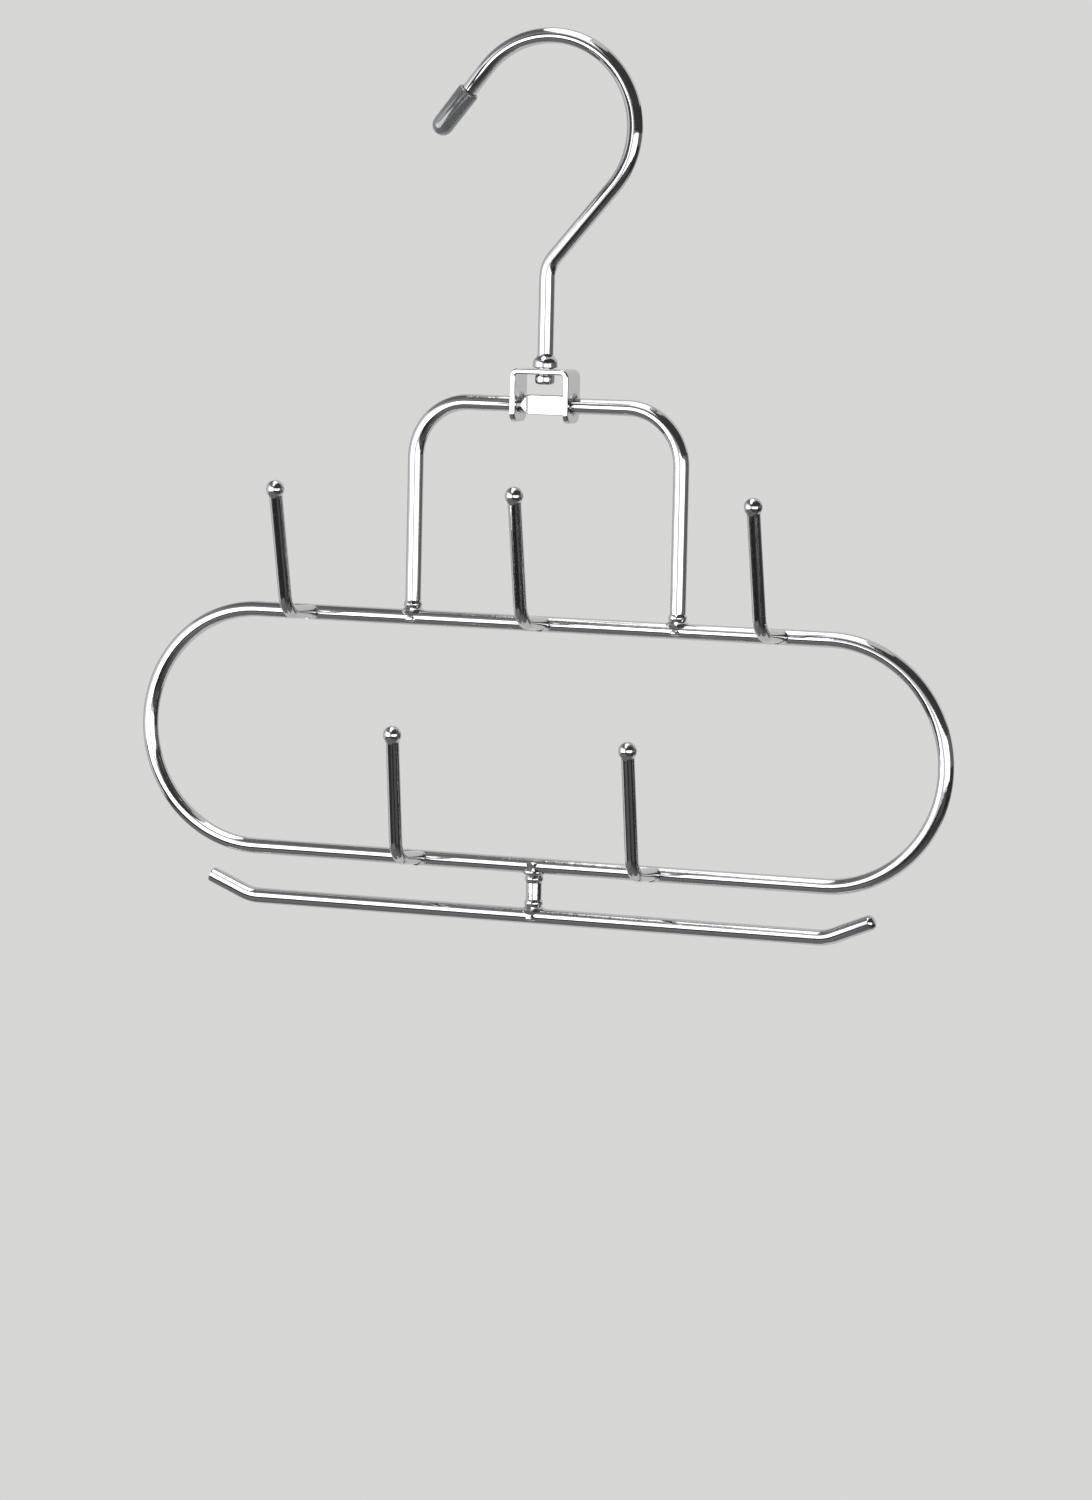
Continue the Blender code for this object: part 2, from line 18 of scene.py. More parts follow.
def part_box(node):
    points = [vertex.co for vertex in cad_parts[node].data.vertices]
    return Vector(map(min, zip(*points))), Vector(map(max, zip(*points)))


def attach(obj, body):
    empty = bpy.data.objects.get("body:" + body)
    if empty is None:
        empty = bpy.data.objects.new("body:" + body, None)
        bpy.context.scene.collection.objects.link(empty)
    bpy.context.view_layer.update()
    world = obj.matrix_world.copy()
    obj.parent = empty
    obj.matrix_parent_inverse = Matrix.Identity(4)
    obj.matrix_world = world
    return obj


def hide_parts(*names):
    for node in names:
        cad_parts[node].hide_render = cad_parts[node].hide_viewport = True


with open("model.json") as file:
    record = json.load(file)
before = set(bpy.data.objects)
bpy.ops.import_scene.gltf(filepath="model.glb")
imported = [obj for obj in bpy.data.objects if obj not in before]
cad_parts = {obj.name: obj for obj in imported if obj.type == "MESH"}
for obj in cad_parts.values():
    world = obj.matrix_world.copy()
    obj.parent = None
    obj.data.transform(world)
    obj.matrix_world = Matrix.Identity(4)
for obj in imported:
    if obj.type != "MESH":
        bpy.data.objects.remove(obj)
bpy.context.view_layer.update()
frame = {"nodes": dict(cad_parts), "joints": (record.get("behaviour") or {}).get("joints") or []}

# %% [markdown]
# ## Sizes
#
# The frame stands in metres with its origin under the hook's crown.  Heights
# are read from the CAD nodes, so that a piece goes where its solid is.  The
# wires' gauges and bends are the ones that a workshop drawing would give.

# %% Sizes read from the frame
RIGHT = Vector((1, 0, 0))
FRONT = Vector((0, -1, 0))
UP = Vector((0, 0, 1))

HOOK_RADIUS = 0.0021
FRAME_RADIUS = 0.0021
PEG_RADIUS = 0.0018

loop_low, loop_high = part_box("loop_frame")
yoke_low, yoke_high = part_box("yoke")
rail_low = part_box("rail")[0]
bracket_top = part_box("swivel_bracket")[1].z

pivot_z = frame["joints"][1]["pos_m"][2]
top_bar_z = loop_high.z - FRAME_RADIUS
bottom_bar_z = loop_low.z + FRAME_RADIUS
rail_z = rail_low.z + FRAME_RADIUS
weld_x = (yoke_low.x + yoke_high.x) / 2
print("pivot", pivot_z, "bars", top_bar_z, bottom_bar_z, "rail", rail_z, "welds", weld_x)

# %% [markdown]
# ## Bending a wire
#
# A wire-goods maker feeds straight wire and turns it round pins.  The same can
# be done in Blender: a circle stands across the wire, extrude carries it
# straight ahead, and spin carries it round a bend.  A curve with a round bevel
# would also give a wire, but its worked places, the collar, the ball and the
# weld beads, need rings of other radii, which extrude and scale give at once.

# %% A wire bender on Blender's own operators
FINE_STEP = math.radians(3)
SMOOTH_ANGLE = math.radians(35)


def clear_selection():
    """Leave edit mode and deselect every object."""
    if bpy.context.object and bpy.context.object.mode != "OBJECT":
        bpy.ops.object.mode_set(mode="OBJECT")
    bpy.ops.object.select_all(action="DESELECT")


def facing(direction):
    """Rotation that turns a flat primitive's Z axis to a direction."""
    return Vector(direction).to_track_quat("Z", "Y").to_euler()


class Wire:
    """One round wire in edit mode, with the ring at its growing end selected."""

    def __init__(self, name, radius, start, ahead, sides=44):
        clear_selection()
        self.at, self.ahead = Vector(start), Vector(ahead).normalized()
        self.radius = radius
        bpy.ops.mesh.primitive_circle_add(
            vertices=sides, radius=radius, location=self.at, rotation=facing(self.ahead)
        )
        self.thing = bpy.context.object
        self.thing.name = self.thing.data.name = name
        bpy.ops.object.transform_apply(location=True, rotation=True, scale=True)
        bpy.ops.object.mode_set(mode="EDIT")
        bpy.ops.mesh.select_all(action="SELECT")

    def straight(self, length, radius=None):
        """Extrude the ring ahead, and bring it to a new radius if one is given."""
        bpy.ops.mesh.extrude_region_move(
            TRANSFORM_OT_translate={"value": self.ahead * length}
        )
        self.at = self.at + self.ahead * length
        if radius is not None:
            factor = radius / self.radius
            bpy.ops.transform.resize(value=(factor,) * 3, center_override=self.at)
            self.radius = radius

    def turned(self, profile):
        """Follow (distance from here, radius) pairs, as on a lathe."""
        done = 0
        for distance, radius in profile:
            self.straight(distance - done, radius)
            done = distance

    def bend(self, radius, angle, toward):
        """Spin the ring toward a direction round a bend of this centreline radius."""
        centre = self.at + Vector(toward).normalized() * radius
        axis = (centre - self.at).cross(self.ahead).normalized()
        bpy.ops.mesh.spin(
            steps=max(2, round(angle / FINE_STEP)), dupli=False, angle=angle,
            center=centre, axis=axis,
        )
        turn = Matrix.Rotation(-angle, 3, axis)
        self.at = centre + turn @ (self.at - centre)
        self.ahead = turn @ self.ahead

    def finish(self, cap_end=True):
        """Close both ends, point the faces outwards and smooth the sides."""
        if cap_end:
            bpy.ops.mesh.edge_face_add()
        bpy.ops.mesh.select_all(action="DESELECT")
        bpy.ops.mesh.select_non_manifold(extend=False)
        bpy.ops.mesh.edge_face_add()
        return finish_mesh(self.thing)


def finish_mesh(thing):
    """Point the faces outwards, leave edit mode and smooth what isn't an edge."""
    bpy.ops.mesh.select_all(action="SELECT")
    bpy.ops.mesh.normals_make_consistent(inside=False)
    bpy.ops.object.mode_set(mode="OBJECT")
    bpy.ops.object.shade_smooth_by_angle(angle=SMOOTH_ANGLE)
    open_edges = count_open_edges(thing)
    print(thing.name, len(thing.data.polygons), "faces,", open_edges, "open edges")
    return thing


def count_open_edges(thing):
    """Edges that don't have a face on both sides."""
    work = bmesh.new()
    work.from_mesh(thing.data)
    count = sum(not edge.is_manifold for edge in work.edges)
    work.free()
    return count

# %% [markdown]
# ## The hook
#
# The hook starts under the bracket with a riveted head, passes through the
# bracket's bore and swells at once to a bell-shaped collar, which was forged
# on the wire so that the bracket can turn but can't slip off.  Then the shank
# rises, bends to the side, and the bowl is rolled round a former.

# %% Bend the hook wire
STRIP = 0.0015                   # thickness of the bracket's strip
HEAD_RADIUS = 0.0026
HEAD_FACE = 0.0018               # radius of the riveted head's flat face
COLLAR_RADIUS = 0.0033
BOWL_RADIUS = 0.0236
BOWL_TO_CORNER = 0.0362
SHANK_BEND = 0.008
BOWL_END = math.radians(141)
TIP_RUN = 0.0198
HEAD_DROP = 0.0042               # from the bracket's top to the riveted head's face
RIVETED_HEAD = [                 # (height over the face, radius)
    (0.00012, 0.00215), (0.00035, 0.00242), (0.0007, 0.00257), (0.0011, HEAD_RADIUS),
    (0.0020, HEAD_RADIUS), (0.0023, 0.00255), (0.0025, 0.0024), (0.00255, HOOK_RADIUS),
]
BORE_RUN = 0.00175               # plain shank between the head and the collar
COLLAR = [                       # (height over the bracket, radius)
    (0.0001, 0.0029), (0.00016, 0.00312), (0.00034, COLLAR_RADIUS), (0.0012, COLLAR_RADIUS),
    (0.0016, 0.00327), (0.0020, 0.00317), (0.0023, 0.00302), (0.00255, 0.00284),
    (0.00275, 0.00262), (0.0029, 0.00242), (0.0031, 0.00226), (0.0034, 0.00215),
    (0.0039, HOOK_RADIUS),
]
CUT_END = [(0.0003, 0.0019), (0.0004, 0.0016)]      # (distance, radius), its edge broken

bowl_z = HOOK_RADIUS - BOWL_RADIUS
corner_z = bowl_z - BOWL_TO_CORNER
slope = math.asin(BOWL_RADIUS / BOWL_TO_CORNER)
slope_run = math.sqrt(BOWL_TO_CORNER ** 2 - BOWL_RADIUS ** 2)
corner_trim = SHANK_BEND * math.tan(slope / 2)

hook = Wire("hook_wire", HEAD_FACE, (0, 0, bracket_top - HEAD_DROP), UP, sides=48)
hook.turned(RIVETED_HEAD)
hook.straight(BORE_RUN)
hook.turned(COLLAR)
hook.straight(corner_z - corner_trim - hook.at.z)
hook.bend(SHANK_BEND, slope, RIGHT)
hook.straight(slope_run - corner_trim)
hook.bend(BOWL_RADIUS, slope + BOWL_END, Vector((0, 0, bowl_z)) - hook.at)
hook.straight(TIP_RUN - CUT_END[-1][0])
hook.turned(CUT_END)
tip, tip_ahead = hook.at.copy(), hook.ahead.copy()
hook_wire = hook.finish()
print("hook ends at", tip, "heading", tip_ahead)

# %% [markdown]
# ## The cap on the hook's tip
#
# A short sleeve of soft grey plastic keeps the cut end from scratching.  It is
# dipped or moulded, so its end is a dome and its mouth has a soft round rim.
# It is made as one turned wall, because the bender can already do that: along
# the bore to the mouth, round the rim, and back along the outside to the dome.

# %% Mould the tip cap
CAP_RADIUS = 0.00295
CAP_LENGTH = 0.0144
CAP_PAST_TIP = 0.0022
CAP_PLAY = 0.00008               # the bore over the wire's radius
BORE_PAST_TIP = 0.0001
MOUTH_DEPTH = 0.0003
MOUTH_INSIDE = [(0.0001, 0.00222), (0.00022, 0.00232), (0.00028, 0.00245)]
MOUTH_OUTSIDE = [
    (-0.00002, 0.0026), (0.00006, 0.00275), (0.0002, 0.00286), (0.0005, CAP_RADIUS),
]
DOME_RADIUS = CAP_RADIUS - 0.00008
DOME_POLE = 0.00012              # radius of the last ring, which a flat face closes
DOME_STEPS = 12

mouth = tip + tip_ahead * (CAP_PAST_TIP - CAP_LENGTH)
bore_end = tip + tip_ahead * BORE_PAST_TIP
cap = Wire("tip_cap", HOOK_RADIUS + CAP_PLAY, bore_end, -tip_ahead, sides=48)
cap.straight((bore_end - mouth).length - MOUTH_DEPTH)
cap.turned(MOUTH_INSIDE)
cap.ahead = -cap.ahead
cap.turned(MOUTH_OUTSIDE)
dome_start = mouth + tip_ahead * (CAP_LENGTH - CAP_RADIUS)
cap.straight((dome_start - cap.at).dot(tip_ahead), DOME_RADIUS)
for step in range(1, DOME_STEPS + 1):
    turn = math.pi / 2 * step / DOME_STEPS
    target = dome_start + tip_ahead * CAP_RADIUS * math.sin(turn)
    cap.straight((target - cap.at).length, max(DOME_POLE, DOME_RADIUS * math.cos(turn)))
tip_cap = cap.finish()

# %% [markdown]
# ## The swivel bracket
#
# The bracket is a steel strip with both ends rounded and bored, folded down
# twice to a small bridge.  It is made in the same order: the strip's section
# is extruded, spun through the two folds, and its corners are rounded with a
# wide bevel.  Bores are cut last, and a fine bevel breaks all edges, because a
# stamped and barrelled strip has no sharp edge left.

# %% Fold the strip
EAR_WIDTH = 0.009
EAR_DROP = 0.0046
EAR_CORNER = 0.0026
BRACKET_WIDTH = 0.0165
FOLD = 0.00145                   # to the middle of the strip
FOLD_STEPS = 10
EAR_CORNER_STEPS = 16
TOLERANCE = 0.0001

half_span = (BRACKET_WIDTH - STRIP) / 2
ear_foot = pivot_z - EAR_DROP

clear_selection()
bpy.ops.mesh.primitive_plane_add(size=1, location=(-half_span, 0, ear_foot))
bracket = bpy.context.object
bracket.name = bracket.data.name = "bracket_strip"
bpy.ops.transform.resize(value=(STRIP, EAR_WIDTH, 1))
bpy.ops.object.transform_apply(location=True, rotation=True, scale=True)
bpy.ops.object.mode_set(mode="EDIT")
bpy.ops.mesh.select_all(action="SELECT")
strip_z = bracket_top - STRIP / 2
rise = strip_z - FOLD - ear_foot
bpy.ops.mesh.extrude_region_move(TRANSFORM_OT_translate={"value": (0, 0, rise)})
bpy.ops.mesh.spin(steps=FOLD_STEPS, dupli=False, angle=math.pi / 2,
                  center=(-half_span + FOLD, 0, strip_z - FOLD), axis=(0, -1, 0))
bpy.ops.mesh.extrude_region_move(
    TRANSFORM_OT_translate={"value": (2 * (half_span - FOLD), 0, 0)}
)
bpy.ops.mesh.spin(steps=FOLD_STEPS, dupli=False, angle=math.pi / 2,
                  center=(half_span - FOLD, 0, strip_z - FOLD), axis=(0, -1, 0))
bpy.ops.mesh.extrude_region_move(TRANSFORM_OT_translate={"value": (0, 0, -rise)})


def select_edges(thing, wanted):
    """Select the edges of the mesh in edit mode that a test accepts."""
    bpy.ops.mesh.select_all(action="DESELECT")
    bpy.ops.mesh.select_mode(type="EDGE")
    work = bmesh.from_edit_mesh(thing.data)
    for edge in work.edges:
        edge.select = wanted(edge)
    work.select_flush_mode()
    bmesh.update_edit_mesh(thing.data)
    return sum(edge.select for edge in work.edges)


def is_ear_corner(edge):
    """Whether an edge runs through the strip's thickness at an ear's foot."""
    low = all(vert.co.z < ear_foot + TOLERANCE for vert in edge.verts)
    return low and abs(edge.verts[0].co.x - edge.verts[1].co.x) > STRIP / 2


bpy.ops.mesh.select_all(action="SELECT")
bpy.ops.mesh.remove_doubles(threshold=TOLERANCE / 10)
print("ear corners", select_edges(bracket, is_ear_corner))
bpy.ops.mesh.bevel(offset=EAR_CORNER, segments=EAR_CORNER_STEPS, profile=0.5, affect="EDGES")
bracket_strip = finish_mesh(bracket)

# %% [markdown]
# The bores are cut with two cylinders.  The ears' bores are wide and sit a
# little high, because the yoke's weight pulls it to their lower side.  The
# boolean and the bevel are applied at once, so that the finished piece is a
# plain mesh.  A weighted-normal modifier keeps the flat faces flat beside their
# small bevels.

# %% Bore the bracket and break its edges
EAR_BORE = 0.00275
EAR_PLAY = 0.0003
SHANK_PLAY = 0.00025
EAR_DRILL, SHANK_DRILL = 0.05, 0.004
EDGE_ROUND = 0.0006
EDGE_STEPS = 6
SHARP = math.radians(40)         # edges that turn by more are broken


def bore(thing, radius, depth, location, direction):
    """Cut a round hole through a piece."""
    clear_selection()
    bpy.ops.mesh.primitive_cylinder_add(
        vertices=64, radius=radius, depth=depth, location=location, rotation=facing(direction)
    )
    drill = bpy.context.object
    clear_selection()
    bpy.context.view_layer.objects.active = thing
    cut = thing.modifiers.new("bore", "BOOLEAN")
    cut.object = drill
    cut.operation = "DIFFERENCE"
    bpy.ops.object.modifier_apply(modifier=cut.name)
    bpy.data.objects.remove(drill)


def break_edges(thing, width, segments):
    """Round every sharp edge a little and keep the flats' shading flat."""
    clear_selection()
    bpy.context.view_layer.objects.active = thing
    thing.select_set(True)
    edges = thing.modifiers.new("edges", "BEVEL")
    edges.width, edges.segments = width, segments
    edges.limit_method, edges.angle_limit = "ANGLE", SHARP
    bpy.ops.object.modifier_apply(modifier=edges.name)
    bpy.ops.object.shade_smooth_by_angle(angle=SMOOTH_ANGLE)
    flats = thing.modifiers.new("flats", "WEIGHTED_NORMAL")
    flats.keep_sharp = True
    bpy.ops.object.modifier_apply(modifier=flats.name)


ear_bore_z = pivot_z + EAR_BORE - FRAME_RADIUS - EAR_PLAY
bore(bracket_strip, EAR_BORE, EAR_DRILL, (0, 0, ear_bore_z), RIGHT)
bore(bracket_strip, HOOK_RADIUS + SHANK_PLAY, SHANK_DRILL, (0, 0, bracket_top - STRIP / 2), UP)
break_edges(bracket_strip, EDGE_ROUND, EDGE_STEPS)
print("bracket", len(bracket_strip.data.polygons), "faces,",
      count_open_edges(bracket_strip), "open edges")

# %% [markdown]
# ## The yoke
#
# The yoke is an upturned U.  Its crown was pressed flat between the bracket's
# ears, so that it can't slide sideways out of them.  The wire is bent first,
# with extra rings at the crown.  Then what stands past the press's two jaws is
# scaled flat onto them, ring by ring, and what they squeeze out makes the wire
# taller.  Toward both ends of the flat the jaws curve away from the wire.  The
# press closed a little off the middle, so the left run-out is the longer one.

# %% Bend and press the yoke
YOKE_HALF = 0.0375
YOKE_CORNER = 0.015
LEFT_FLAT, LEFT_RUN_OUT = 0.0024, 0.0034
RIGHT_FLAT, RIGHT_RUN_OUT = 0.0046, 0.0021
RUN_OUT_STEPS = 12
RUN_OUT_POWER = 4                # how late the jaws' curve sets in
FLAT_THICKNESS = 0.0025
FLAT_HEIGHT = 0.0054
FLAT_EDGE = 0.0002
LEG_REACH = 0.0008               # from a bar's middle line to the end of a leg sunk in it
SAME_RING = 0.000008             # points of one ring stand this close along the wire

yoke = Wire("yoke_wire", FRAME_RADIUS, (weld_x - YOKE_HALF, 0, top_bar_z + LEG_REACH), UP)
yoke.straight(pivot_z - YOKE_CORNER - yoke.at.z)
yoke.bend(YOKE_CORNER, math.pi / 2, RIGHT)
curve = [math.pi / 2 * step / RUN_OUT_STEPS for step in range(RUN_OUT_STEPS + 1)]
pressed = [(-LEFT_FLAT - LEFT_RUN_OUT * math.sin(turn), turn) for turn in reversed(curve)]
pressed += [(RIGHT_FLAT + RIGHT_RUN_OUT * math.sin(turn), turn) for turn in curve]
for place, _ in pressed:
    yoke.straight(place - yoke.at.x)
yoke.straight(weld_x + YOKE_HALF - YOKE_CORNER - yoke.at.x)
yoke.bend(YOKE_CORNER, math.pi / 2, -UP)
yoke.straight(yoke.at.z - top_bar_z - LEG_REACH)
bpy.ops.mesh.edge_face_add()


def select_points(thing, wanted):
    """Select the points of the mesh in edit mode that a test accepts."""
    bpy.ops.mesh.select_mode(type="VERT")
    bpy.ops.mesh.select_all(action="DESELECT")
    work = bmesh.from_edit_mesh(thing.data)
    for vert in work.verts:
        vert.select = wanted(vert.co)
    work.select_flush_mode()
    bmesh.update_edit_mesh(thing.data)


flat_depth = FLAT_THICKNESS / 2
face_edge = math.sqrt(FRAME_RADIUS ** 2 - flat_depth ** 2)
face_growth = (FLAT_HEIGHT / 2 - FLAT_EDGE) / face_edge - 1
edge_growth = FLAT_HEIGHT / 2 / FRAME_RADIUS - 1
for place, turn in pressed:
    share = math.cos(turn)
    jaw = flat_depth + (FRAME_RADIUS - flat_depth) * math.sin(turn) ** RUN_OUT_POWER
    select_points(yoke.thing, lambda co: abs(co.x - place) < SAME_RING and abs(co.y) <= jaw)
    bpy.ops.transform.resize(value=(1, 1, 1 + share * edge_growth),
                             center_override=(place, 0, pivot_z))
    for side in (-jaw, jaw):
        select_points(yoke.thing, lambda co: abs(co.x - place) < SAME_RING and co.y / side > 1)
        bpy.ops.transform.resize(value=(1, 0, 1 + share * face_growth),
                                 center_override=(place, side, pivot_z))
bpy.ops.mesh.select_mode(type="VERT")
yoke_wire = yoke.finish(cap_end=False)

# %% [markdown]
# ## The loop
#
# The loop is one wire bent to a long stadium and butt-welded to itself.  The
# last ring is bridged to the first, which gives the second straight bar.

# %% Bend and close the loop
LOOP_END = 0.032
loop_half = loop_high.x - FRAME_RADIUS - LOOP_END

loop = Wire("loop_wire", FRAME_RADIUS, (loop_half, 0, top_bar_z), RIGHT)
loop.bend(LOOP_END, math.pi, -UP)
loop.straight(2 * loop_half)
loop.bend(LOOP_END, math.pi, UP)
bpy.ops.mesh.select_all(action="DESELECT")
bpy.ops.mesh.select_non_manifold(extend=False)
bpy.ops.mesh.bridge_edge_loops()
loop_wire = finish_mesh(loop.thing)

# %% [markdown]
# ## The pegs
#
# Each peg was cut from thinner wire, its end was headed to a ball, and it was
# bent up.  The five are the same, so one is modelled and copied, each copy
# with its own mesh.  The foot rises a little and the leg leans to the front, so
# that a belt's buckle or loop slips over the ball and stays on.

# %% Model one peg
PEG_REACH = 0.017
PEG_FOOT_RISE = math.radians(5)
PEG_BEND = 0.006
PEG_RISE = 0.0344
PEG_LEAN = math.radians(10)
PEG_PITCH = 0.0665
BALL_RADIUS = 0.00245
NECK = 0.0015                    # radius of the hollow under the ball
NECK_STEPS = 5
BALL_STEPS = 21
BALL_POLE = math.radians(86)

peg_turn = math.pi / 2 - PEG_FOOT_RISE - PEG_LEAN
peg_trim = PEG_BEND * math.tan(peg_turn / 2)
along_foot = FRONT * math.cos(PEG_FOOT_RISE) + UP * math.sin(PEG_FOOT_RISE)
foot_length = PEG_REACH / math.cos(PEG_FOOT_RISE)
leg_length = (PEG_RISE - PEG_REACH * math.tan(PEG_FOOT_RISE)) / math.cos(PEG_LEAN) - peg_trim
neck_lift = math.acos((PEG_RADIUS + NECK) / (BALL_RADIUS + NECK))
neck_start = leg_length - (BALL_RADIUS + NECK) * math.sin(neck_lift)

peg = Wire("peg", PEG_RADIUS, along_foot * LEG_REACH, along_foot, sides=36)
peg.straight(foot_length - peg_trim - LEG_REACH)
peg.bend(PEG_BEND, peg_turn, along_foot.cross(RIGHT))
peg.straight(neck_start)
ball = []
for step in range(1, NECK_STEPS + 1):
    turn = neck_lift * step / NECK_STEPS
    ball.append((NECK * math.sin(turn), PEG_RADIUS + NECK * (1 - math.cos(turn))))
centre_on = leg_length - neck_start
for step in range(1, BALL_STEPS + 1):
    turn = -neck_lift + (BALL_POLE + neck_lift) * step / BALL_STEPS
    ball.append((centre_on + BALL_RADIUS * math.sin(turn), BALL_RADIUS * math.cos(turn)))
peg.turned(ball)
peg_model = peg.finish()

# %% [markdown]
# Pegs are held in a jig and welded by hand, so no two stand quite alike.  Each
# copy is shifted by a fraction of a millimetre and turned by a degree or so
# about its weld, which is quicker than five models and as true.

# %% Copy the peg to its five places
PEG_PLACES = {                   # along the bar, height, degrees forward, degrees sideways
    "peg_top_left": (-PEG_PITCH, top_bar_z, 1.5, -1.4),
    "peg_top_middle": (0.0004, top_bar_z, -0.8, -0.8),
    "peg_top_right": (PEG_PITCH, top_bar_z, -0.5, -1.4),
    "peg_bottom_left": (-PEG_PITCH / 2 - 0.0004, bottom_bar_z, -0.8, 0.9),
    "peg_bottom_right": (PEG_PITCH / 2 - 0.0002, bottom_bar_z, 0.0, 0.2),
}


def copy_to(model, name, offset, forward, sideways):
    """A copy with its own mesh, set in its mesh, its object at the origin."""
    clear_selection()
    model.select_set(True)
    bpy.context.view_layer.objects.active = model
    bpy.ops.object.duplicate_move(TRANSFORM_OT_translate={"value": offset})
    copy = bpy.context.object
    copy.name = copy.data.name = name
    copy.rotation_euler = (math.radians(forward), math.radians(sideways), 0)
    bpy.ops.object.transform_apply(location=True, rotation=True, scale=True)
    return copy


pegs = {
    node: copy_to(peg_model, node.replace("peg_", "peg_wire_"), (weld_x + along, 0, height),
                  forward, sideways)
    for node, (along, height, forward, sideways) in PEG_PLACES.items()
}
bpy.data.objects.remove(peg_model)
print("pegs", sorted(piece.name for piece in pegs.values()))

# %% [markdown]
# ## The rail and its link
#
# The lower rail is a plain rod with both ends lifted a little, so that what
# hangs on it doesn't slide off.  Its left end was cut a millimetre short and
# barely rounded, and its right end was ground rounder, so each end is turned
# with its own edge.  A short stub of frame wire holds the rail under the loop.

# %% Bend the rail and cut the link
RAIL_END = 0.014
RAIL_CUT_SHORT = 0.001           # at the left end only
RAIL_LIFT = math.radians(22.5)
RAIL_BEND = 0.012
RAIL_HALF = 0.082
LEFT_ROUND, RIGHT_ROUND = 0.0005, 0.0015
ROUND_STEPS = 10


def rounded_end(edge):
    """(distance, radius) pairs from an end face of the rod to its full radius."""
    return [(edge * (1 - math.cos(turn)), FRAME_RADIUS - edge * (1 - math.sin(turn)))
            for turn in (math.pi / 2 * step / ROUND_STEPS for step in range(ROUND_STEPS + 1))]


rail_trim = RAIL_BEND * math.tan(RAIL_LIFT / 2)
end_dir = Vector((math.cos(RAIL_LIFT), 0, -math.sin(RAIL_LIFT)))
left_end = RAIL_END - RAIL_CUT_SHORT
left_face = rounded_end(LEFT_ROUND)
rail = Wire("rail_wire", left_face[0][1], Vector((-RAIL_HALF, 0, rail_z)) - end_dir * left_end,
            end_dir)
rail.turned(left_face[1:])
rail.straight(left_end - LEFT_ROUND - rail_trim)
rail.bend(RAIL_BEND, RAIL_LIFT, (math.sin(RAIL_LIFT), 0, math.cos(RAIL_LIFT)))
rail.straight(2 * RAIL_HALF - 2 * rail_trim)
rail.bend(RAIL_BEND, RAIL_LIFT, UP)
rail.straight(RAIL_END - RIGHT_ROUND - rail_trim)
rail.turned([(RIGHT_ROUND - distance, radius)
             for distance, radius in reversed(rounded_end(RIGHT_ROUND)[:-1])])
rail_wire = rail.finish()

link = Wire("link_wire", FRAME_RADIUS, (0, 0, bottom_bar_z - LEG_REACH), -UP)
link.straight(bottom_bar_z - rail_z - 2 * LEG_REACH)
link_wire = link.finish()

# %% [markdown]
# ## Weld beads
#
# Resistance welding melts each leg's end against the bar and squeezes out a
# lumpy bead all round.  A bead is a short sleeve of turned rings about the
# leg: each list gives the rings' heights over the bar's middle line and how
# far each stands out from the leg.  A standing leg has a fat ring on the bar
# and a slim one above it, and a peg's foot has hardly any.  The rings near the
# bar are widened along it, and a displacement from a clouds texture makes them
# lumpy.  The bead sinks a little into both wires, so that no seam shows.

# %% A bead maker
BEAD_END = 0.0001                # length of the sleeve's closed ends, inside the wires
BEAD_CORE_SHARE = 0.5            # their radius, as a share of the leg's
BAR_ZONE = 0.0023                # rings below this height touch the bar
BAR_SPREAD = 1.15                # how much wider they are along it
STANDING_LUMP, FOOT_LUMP = 0.00016, 0.0001

lumps = bpy.data.textures.new("weld lumps", "CLOUDS")
lumps.noise_scale = 0.0012
lumps.noise_depth = 1

STANDING_BEAD = [                # (height over the bar's middle line, swelling)
    (-0.0013, -0.0007), (-0.0009, 0.00015), (-0.0005, 0.00038), (-0.0001, 0.0003),
    (0.0005, 0.00005), (0.0009, 0.0003), (0.0013, 0.00055), (0.0017, 0.00066),
    (0.0021, 0.0005), (0.0026, 0.00012), (0.0030, 0.00028), (0.0035, 0.00038),
    (0.0039, 0.00028), (0.0043, 0.0001), (0.0048, -0.00012),
]
FOOT_BEAD = [
    (-0.0005, 0), (0.0001, 0.0001), (0.0008, 0.00017), (0.0015, 0.0002), (0.0020, 0.00018),
    (0.0025, 0.0001), (0.0030, 0.00003), (0.0035, -0.00003), (0.0041, -0.00015),
]


def weld_bead(name, leg_radius, bar_point, away, rings, lump):
    """A lumpy bead where a leg of this radius stands on a bar's centreline point."""
    bar_point = Vector(bar_point)
    start, core = rings[0][0] - BEAD_END, leg_radius * BEAD_CORE_SHARE
    bead = Wire(name, core, bar_point + away * start, away, sides=40)
    bead.turned([(height - start, leg_radius + swelling) for height, swelling in rings])
    bead.straight(BEAD_END, core)
    bpy.ops.mesh.edge_face_add()
    select_points(bead.thing, lambda co: (co - bar_point).dot(away) < BAR_ZONE)
    bpy.ops.transform.resize(value=(BAR_SPREAD, 1, 1), center_override=bar_point)
    bpy.ops.mesh.select_mode(type="VERT")
    piece = bead.finish(cap_end=False)
    bpy.ops.object.mode_set(mode="EDIT")
    bpy.ops.mesh.select_all(action="SELECT")
    bpy.ops.mesh.subdivide(number_cuts=1)
    bpy.ops.object.mode_set(mode="OBJECT")
    rough = piece.modifiers.new("lumps", "DISPLACE")
    rough.texture, rough.texture_coords = lumps, "LOCAL"
    rough.strength, rough.mid_level = lump, 0.5
    bpy.ops.object.modifier_apply(modifier=rough.name)
    bpy.ops.object.shade_smooth()
    return piece

# %% [markdown]
# Nine legs are welded: the yoke's two, the five pegs and both ends of the
# link.  Each bead is listed under its leg's node, because it is that leg's end
# which melted.

# %% Lay the beads
beads = {node: [] for node in ("yoke", "rail_link", *PEG_PLACES)}


